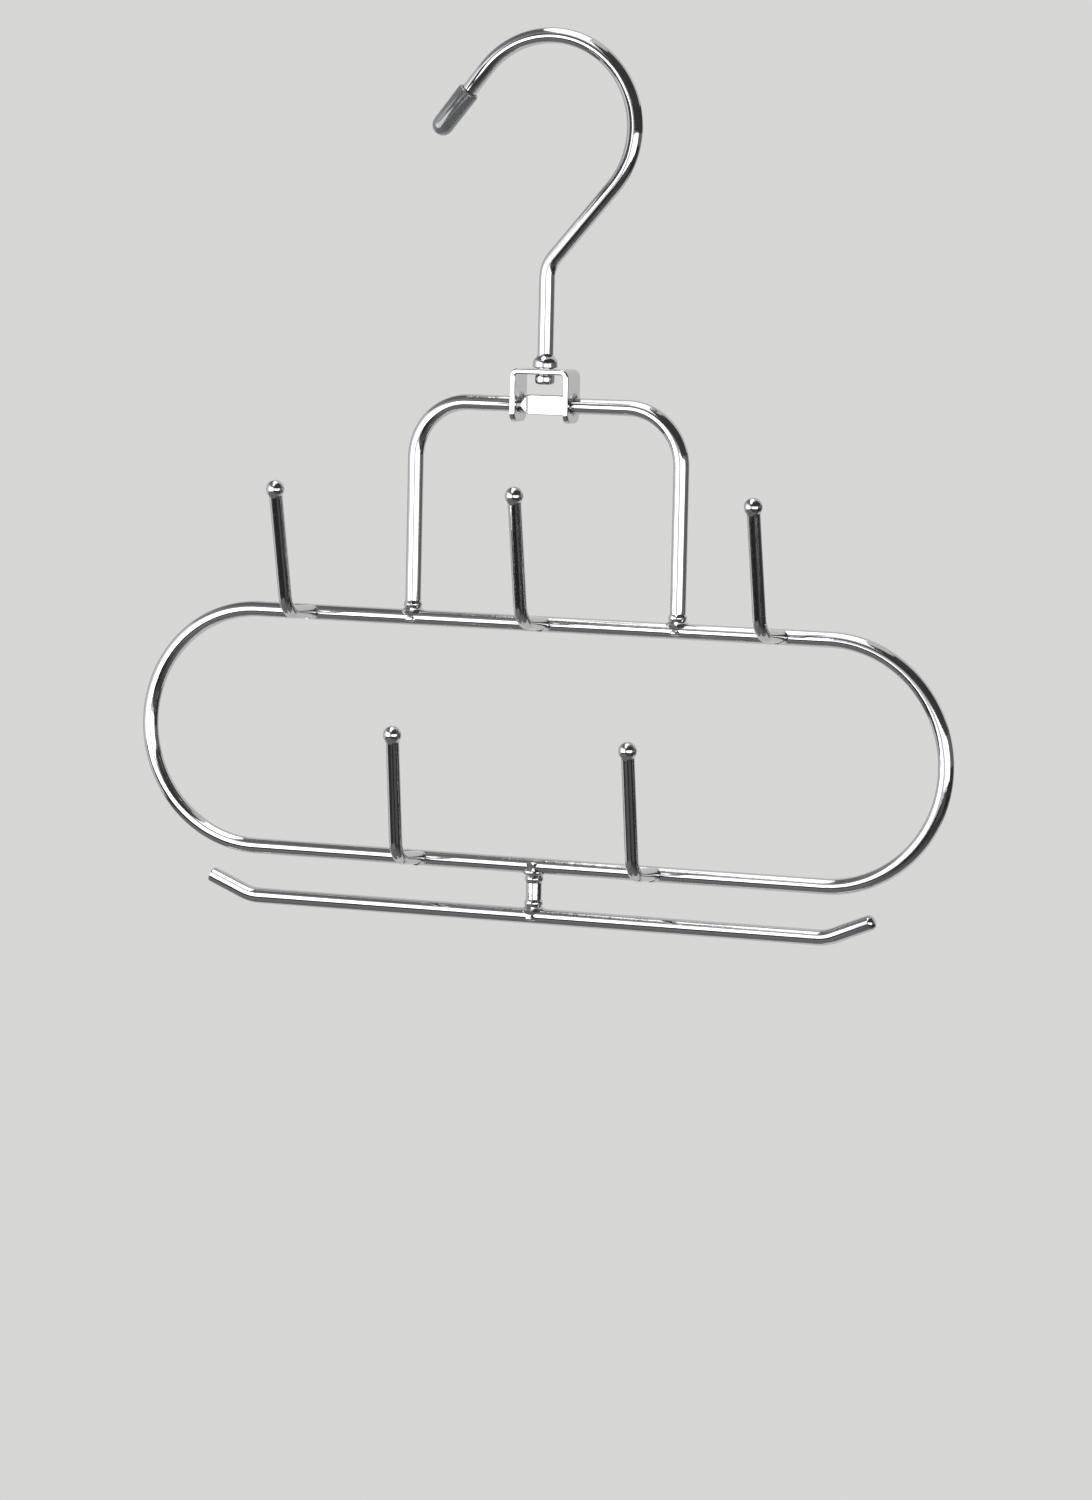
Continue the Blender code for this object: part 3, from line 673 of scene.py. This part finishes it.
def lay_bead(node, name, radius, place, away, rings=STANDING_BEAD, lump=STANDING_LUMP):
    """Make a bead and list it under the node of its leg."""
    beads[node].append(weld_bead(name, radius, place, away, rings, lump))


for side, sign in (("left", -1), ("right", 1)):
    place = (weld_x + sign * YOKE_HALF, 0, top_bar_z)
    lay_bead("yoke", f"bead_yoke_{side}", FRAME_RADIUS, place, UP)
for node, (along, height, _, _) in PEG_PLACES.items():
    place = (weld_x + along, 0, height)
    name = node.replace("peg", "bead_peg")
    lay_bead(node, name, PEG_RADIUS, place, FRONT, FOOT_BEAD, FOOT_LUMP)
lay_bead("rail_link", "bead_link_top", FRAME_RADIUS, (0, 0, bottom_bar_z), -UP)
lay_bead("rail_link", "bead_link_foot", FRAME_RADIUS, (0, 0, rail_z), UP)
print("beads", sum(len(pieces) for pieces in beads.values()))

# %% [markdown]
# ## Finishes
#
# Bright chrome plating is nearly a mirror.  What tells it from a perfect one
# is small: the plating lies over drawn wire, so its reflections waver, and
# years of belts leave hairlines and a faint haze.  Each finish below is one
# Principled shader whose roughness and bump read noise on Object coordinates.

# %% A helper for finishes
def new_finish(name):
    """A material with its shader, its node tree and Object coordinates."""
    material = bpy.data.materials.new(name)
    material.use_nodes = True
    tree = material.node_tree
    shader = tree.nodes["Principled BSDF"]
    place = tree.nodes.new("ShaderNodeTexCoord").outputs["Object"]
    return material, tree, shader, place


def noise(tree, place, scale, detail=2.0, stretch=None):
    """Noise of so many cells a metre, drawn out along an axis if asked."""
    if stretch:
        mapping = tree.nodes.new("ShaderNodeMapping")
        mapping.inputs["Scale"].default_value = stretch
        tree.links.new(place, mapping.inputs["Vector"])
        place = mapping.outputs["Vector"]
    cells = tree.nodes.new("ShaderNodeTexNoise")
    cells.inputs["Scale"].default_value = scale
    cells.inputs["Detail"].default_value = detail
    tree.links.new(place, cells.inputs["Vector"])
    return cells.outputs["Fac"]


def remap(tree, value, low, high, out_low, out_high):
    """Carry a value from one range to another, clamped."""
    node = tree.nodes.new("ShaderNodeMapRange")
    for socket, number in (("From Min", low), ("From Max", high),
                           ("To Min", out_low), ("To Max", out_high)):
        node.inputs[socket].default_value = number
    tree.links.new(value, node.inputs["Value"])
    return node.outputs["Result"]


def combine(tree, operation, first, second):
    """One arithmetic step on two values."""
    node = tree.nodes.new("ShaderNodeMath")
    node.operation = operation
    for socket, value in zip(node.inputs, (first, second)):
        if isinstance(value, (int, float)):
            socket.default_value = value
        else:
            tree.links.new(value, socket)
    return node.outputs["Value"]


def tint(tree, value, dark, light):
    """Blend two colours by a value from 0 to 1."""
    node = tree.nodes.new("ShaderNodeMix")
    node.data_type = "RGBA"
    node.inputs["A"].default_value = (*dark, 1)
    node.inputs["B"].default_value = (*light, 1)
    tree.links.new(value, node.inputs["Factor"])
    return node.outputs["Result"]


def bump(tree, shader, height, distance, strength=1.0, under=None):
    """Raise the surface by a height value; returns the normal for a further bump."""
    node = tree.nodes.new("ShaderNodeBump")
    node.inputs["Strength"].default_value = strength
    node.inputs["Distance"].default_value = distance
    tree.links.new(height, node.inputs["Height"])
    if under is not None:
        tree.links.new(under, node.inputs["Normal"])
    tree.links.new(node.outputs["Normal"], shader.inputs["Normal"])
    return node.outputs["Normal"]

# %% [markdown]
# The chrome is one recipe in four strengths.  Drawn wire is the smoothest, the
# pegs were handled less, the folded strip was stamped and so is hazier, and
# the plating over a weld follows its pits.

# %% Bright chrome
def hairlines(tree, place):
    """Thin scratches in three directions: 1 on a scratch and 0 elsewhere."""
    total = None
    for stretch in ((60, 700, 700), (700, 60, 700), (500, 500, 45)):
        lines = noise(tree, place, 9, 1, stretch)
        thin = combine(tree, "ABSOLUTE", combine(tree, "SUBTRACT", lines, 0.5), 0)
        scratch = remap(tree, thin, 0, 0.006, 1, 0)
        total = scratch if total is None else combine(tree, "MAXIMUM", total, scratch)
    return total


def chrome(name, wave=0.00002, haze=0.035, scratched=0.10, pits=0.0):
    """Bright plating: wavering reflections, haze in patches and hairlines."""
    material, tree, shader, place = new_finish(name)
    shader.inputs["Metallic"].default_value = 1.0
    patches = noise(tree, place, 90, 3)
    colour = tint(tree, patches, (0.60, 0.605, 0.61), (0.68, 0.68, 0.685))
    tree.links.new(colour, shader.inputs["Base Color"])
    scratch = hairlines(tree, place)
    rough = remap(tree, noise(tree, place, 260, 4), 0.35, 0.75, haze, haze + 0.05)
    rough = combine(tree, "ADD", rough, combine(tree, "MULTIPLY", scratch, scratched))
    tree.links.new(rough, shader.inputs["Roughness"])
    normal = bump(tree, shader, noise(tree, place, 420, 2), wave)
    normal = bump(tree, shader, scratch, -0.000002, 0.4, normal)
    if pits:
        bump(tree, shader, noise(tree, place, 1700, 3), pits, 1.0, normal)
    return material


wire_chrome = chrome("wire chrome")
peg_chrome = chrome("peg chrome", wave=0.00001, haze=0.03, scratched=0.08)
weld_chrome = chrome("weld chrome", wave=0.00005, haze=0.06, pits=0.00001)
strip_chrome = chrome("strip chrome", wave=0.000015, haze=0.06, scratched=0.08)
print("chrome nodes", len(wire_chrome.node_tree.nodes), "welds", len(weld_chrome.node_tree.nodes))

# %% [markdown]
# The cap is soft plastic with a dull gloss.  Dipping left it softly wavy and
# handling polished it in patches, so roughness and colour both vary a little.
# A clear coat over the shader carries the light streak along it.

# %% Cap plastic
cap_plastic, tree, shader, place = new_finish("cap plastic")
grey = tint(tree, noise(tree, place, 150, 4), (0.105, 0.108, 0.113), (0.125, 0.128, 0.134))
tree.links.new(grey, shader.inputs["Base Color"])
satin = remap(tree, noise(tree, place, 500, 4), 0.3, 0.7, 0.10, 0.14)
tree.links.new(satin, shader.inputs["Roughness"])
shader.inputs["Specular IOR Level"].default_value = 1.0
shader.inputs["Coat Weight"].default_value = 1.0
shader.inputs["Coat Roughness"].default_value = 0.1
shader.inputs["Coat IOR"].default_value = 1.8
bump(tree, shader, noise(tree, place, 900, 2), 0.000004)
print("cap plastic nodes", len(tree.nodes))

# %% [markdown]
# ## Hang the pieces on the frame
#
# Each piece now rides on its body and takes the place of its CAD node,
# which is hidden.  The CAD nodes stay as the frame and get the same finishes.

# %% Give each piece its body and finish, and hide its CAD node
def dress(piece, node, body, finish):
    """Put a finished piece in the place of its CAD node."""
    piece.data.materials.clear()
    piece.data.materials.append(finish)
    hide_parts(node)
    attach(piece, body)
    print(piece.name, "stands for", node, "and rides on", body)


dress(hook_wire, "hook", "hook", wire_chrome)
dress(tip_cap, "hook_tip_cap", "hook", cap_plastic)
dress(bracket_strip, "swivel_bracket", "bracket", strip_chrome)
dress(yoke_wire, "yoke", "rack", wire_chrome)
dress(loop_wire, "loop_frame", "rack", wire_chrome)
dress(rail_wire, "rail", "rack", wire_chrome)
dress(link_wire, "rail_link", "rack", wire_chrome)
for node, piece in pegs.items():
    dress(piece, node, "rack", peg_chrome)
for node, pieces in beads.items():
    for piece in pieces:
        dress(piece, node, "rack", weld_chrome)
for node in frame["nodes"].values():
    node.data.materials.clear()
    node.data.materials.append(cap_plastic if "cap" in node.name else wire_chrome)

# %% [markdown]
# ## The camera
#
# The product was photographed with a long lens from a little to the right and
# a little above.  The camera stands there and is rolled by about a degree.

# %% Set the camera
LENS = 132.4
CAMERA_AT = Vector((0.54162, -1.34001, -0.03554))
CAMERA_TURN = math.radians(21.91351)        # from the front view, toward the right
CAMERA_TILT = math.radians(-5.89034)
CAMERA_ROLL = math.radians(1.25854)

camera_data = bpy.data.cameras.new("camera")
camera_data.lens = LENS
camera_data.clip_end = 20
camera = bpy.data.objects.new("camera", camera_data)
bpy.context.scene.collection.objects.link(camera)
camera.matrix_world = (
    Matrix.Translation(CAMERA_AT)
    @ Matrix.Rotation(CAMERA_TURN, 4, "Z")
    @ Matrix.Rotation(math.pi / 2 + CAMERA_TILT, 4, "X")
    @ Matrix.Rotation(CAMERA_ROLL, 4, "Z")
)
bpy.context.scene.camera = camera
print("camera", CAMERA_AT, "looks along", -camera.matrix_world.col[2].xyz)

# %% [markdown]
# ## Studio
#
# Chrome shows its surroundings, so the studio is built for its reflections.
# Softboxes light the hanger and draw the wires' white bands, and flags draw
# the grey and black ones.  A flag is a card on a sphere round the hanger.  Only
# reflections see it, so it casts no shadow, and its shade is graded from one
# edge to the other, as a wall is that a lamp grazes.

# %% Helpers for lights and flags
CENTRE = Vector((0, 0, -0.12))
FLAG_STEP = 8                    # degrees from one row of a flag's points to the next
FLAG_BLUE = 1.02                 # flags are a trace cooler than the softboxes


def stand(azimuth, elevation, distance, centre=CENTRE):
    """A place round the hanger: azimuth 0 is the front, + is to the right."""
    turn, tilt = math.radians(azimuth), math.radians(elevation)
    out = Vector((math.sin(turn) * math.cos(tilt), -math.cos(turn) * math.cos(tilt),
                  math.sin(tilt)))
    return centre + out * distance


def softbox(name, at, aim, width, height, radiance):
    """An area light of even radiance that faces a point."""
    light = bpy.data.lights.new(name, "AREA")
    light.shape = "RECTANGLE"
    light.size, light.size_y = width, height
    light.energy = radiance * math.pi * width * height
    lamp = bpy.data.objects.new(name, light)
    bpy.context.scene.collection.objects.link(lamp)
    lamp.location = at
    lamp.rotation_euler = (Vector(at) - Vector(aim)).to_track_quat("Z", "Y").to_euler()
    lamp.visible_camera = False
    print(name, width, "by", height)


def flag(name, azimuths, elevations, distance, stops, along="Y", centre=CENTRE):
    """A card that only reflections see, graded upwards (Y) or to the right (X)."""
    (left, right), (low, high) = azimuths, elevations
    clear_selection()
    columns = max(2, round((right - left) / FLAG_STEP))
    rows = max(2, round((high - low) / FLAG_STEP))
    bpy.ops.mesh.primitive_grid_add(x_subdivisions=columns, y_subdivisions=rows, size=1)
    card = bpy.context.object
    card.name = card.data.name = name
    for vert in card.data.vertices:
        azimuth = left + (right - left) * (vert.co.x + 0.5)
        elevation = low + (high - low) * (vert.co.y + 0.5)
        vert.co = stand(azimuth, elevation, distance, centre)
    material = bpy.data.materials.new(name)
    material.use_nodes = True
    tree = material.node_tree
    tree.nodes.remove(tree.nodes["Principled BSDF"])
    place = tree.nodes.new("ShaderNodeTexCoord")
    parts = tree.nodes.new("ShaderNodeSeparateXYZ")
    tree.links.new(place.outputs["UV"], parts.inputs["Vector"])
    ramp = tree.nodes.new("ShaderNodeValToRGB")
    points = ramp.color_ramp.elements
    for number, (position, level) in enumerate(stops):
        point = points[number] if number < 2 else points.new(position)
        point.position, point.color = position, (level, level, level * FLAG_BLUE, 1)
    glow = tree.nodes.new("ShaderNodeEmission")
    tree.links.new(parts.outputs[along], ramp.inputs["Fac"])
    tree.links.new(ramp.outputs["Color"], glow.inputs["Color"])
    tree.links.new(glow.outputs["Emission"], tree.nodes["Material Output"].inputs["Surface"])
    card.data.materials.append(material)
    card.visible_camera = card.visible_diffuse = card.visible_shadow = False
    card.visible_transmission = card.visible_volume_scatter = False
    print(name, columns, "by", rows)

# %% [markdown]
# The softboxes stand as they did at the photograph: one close by at the left,
# one lower and wider at the right, and one overhead.  The upright wires mirror
# what is level with them all round, the bars what is above and below the left
# softbox, and the pegs' legs, which lean to the front, a band below it.

# %% Place the softboxes
LEFT_BOX = stand(-34.5, 0, 0.42)
LEFT_BOX.z = -0.129
RIGHT_BOX = stand(45, 0, 0.75)
RIGHT_BOX.z = -0.175
TOP_BOX = Vector((-0.16, -0.42, 0.86))

softbox("left softbox", LEFT_BOX, (0, 0, LEFT_BOX.z), 0.40, 0.305, 2.2)
softbox("right softbox", RIGHT_BOX, (0, 0, RIGHT_BOX.z), 0.92, 0.32, 2.0)
softbox("overhead softbox", TOP_BOX, (TOP_BOX.x, TOP_BOX.y, 0), 0.52, 1.5, 1.7)

# %% [markdown]
# The large flags close the gaps between the softboxes.  The small cards do
# single jobs: three before the bowl stand for whatever held the hanger up, and
# four keep the band that the pegs' legs mirror black.

# %% Place the flags
BOWL_CENTRE = Vector((0, 0, bowl_z))


def even(level):
    """The stops of a flag of one shade."""
    return (0, level), (1, level)


flag("front strip", (-26, 3), (31, 50), 1.4, ((0, 0.5), (1, 0.9)))
flag("gap flag", (-30, 30), (-30, 28), 1.5,
     ((0, 0.1), (0.3, 0.85), (0.6, 0.85), (0.8, 0.06), (1, 0.06)))
flag("bowl flag left", (-48, 12), (-12, 9), 0.042, even(0.09), centre=BOWL_CENTRE)
flag("bowl flag far left", (-66, -48), (7, 30), 0.042, even(0.06), centre=BOWL_CENTRE)
flag("bowl flag right", (36, 130), (-3, 15), 0.05, even(0.05), centre=BOWL_CENTRE)
flag("upper left flag", (-130, 3), (5, 68), 1.8, ((0, 0.4), (0.5, 0.3), (0.7, 0.16), (1, 0.16)))
flag("upper right flag", (3, 130), (5, 68), 1.9, ((0, 0.07), (0.5, 0.05), (1, 0.07)))
flag("right flag", (60, 150), (-30, 12), 1.8,
     ((0, 0.6), (0.2, 0.3), (0.32, 0.18), (1, 0.14)), along="X")
flag("left flag", (-135, -40), (-30, 28), 1.75,
     ((0, 0.4), (0.5, 0.7), (0.8, 1.2), (1, 1.5)), along="X")
flag("low left flag", (-120, 5), (-84, -28), 1.0,
     ((0, 0.2), (0.43, 0.17), (0.7, 0.22), (0.87, 0.22), (1, 0.06)))
flag("front leg card", (-42, 5), (-29, -18), 0.97, ((0, 0.03), (1, 0.015)))
flag("low right flag", (5, 120), (-84, -18), 1.0,
     ((0, 0.2), (0.36, 0.15), (0.6, 0.08), (0.85, 0.03), (1, 0.02)))
flag("low right card", (30, 72), (-32, -19), 0.95, even(0.1))
flag("left leg card", (-74, -42), (-29, -13), 0.92, ((0, 0.04), (1, 0.06)))
flag("right leg card", (58, 130), (-22, -7), 0.9, even(0.04))

# %% [markdown]
# ## Floor and background
#
# The floor is a pale plain disc far below the hanger.  The photograph's view
# passes over it, but a view from above sees it, and it takes shadows like any
# floor.  The background's light grey is a colour that camera, mirror and glass
# rays see, and another grey lights the hanger.  To the same rays the floor glows
# a little, so that from above it is as light as the background.

# %% Floor and world
BACKGROUND = (0.675, 0.675, 0.662, 1)
AIR = (0.5, 0.5, 0.5)            # what lights the hanger from all round
FLOOR_DEPTH = 1.2
FLOOR_RADIUS = 2.2
FLOOR_LIFT = 0.38                # what the floor's own shade lacks of the background's grey


def seen_directly(tree):
    """1 for camera, mirror and glass rays, 0 for the rays that light the object."""
    rays = tree.nodes.new("ShaderNodeLightPath")
    seen = combine(tree, "MAXIMUM", rays.outputs["Is Camera Ray"], rays.outputs["Is Glossy Ray"])
    return combine(tree, "MAXIMUM", seen, rays.outputs["Is Transmission Ray"])


clear_selection()
bpy.ops.mesh.primitive_circle_add(
    vertices=96, radius=FLOOR_RADIUS, fill_type="NGON",
    location=(0, 0, CENTRE.z - FLOOR_DEPTH),
)
floor = bpy.context.object
floor.name = floor.data.name = "studio floor"
floor_paint, tree, shader, place = new_finish("floor paint")
speckle = tint(tree, noise(tree, place, 12, 4), (0.66, 0.66, 0.665), (0.70, 0.70, 0.705))
tree.links.new(speckle, shader.inputs["Base Color"])
shader.inputs["Roughness"].default_value = 0.7
shader.inputs["Emission Color"].default_value = BACKGROUND
lift = combine(tree, "MULTIPLY", seen_directly(tree), FLOOR_LIFT)
tree.links.new(lift, shader.inputs["Emission Strength"])
floor.data.materials.append(floor_paint)

world = bpy.data.worlds.new("studio")
bpy.context.scene.world = world
world.use_nodes = True
tree = world.node_tree
air = tint(tree, seen_directly(tree), AIR, BACKGROUND[:3])
tree.links.new(air, tree.nodes["Background"].inputs["Color"])
bpy.context.scene.view_settings.view_transform = "Standard"
print("floor", FLOOR_DEPTH, "m below the middle of the hanger,", FLOOR_RADIUS, "m round")
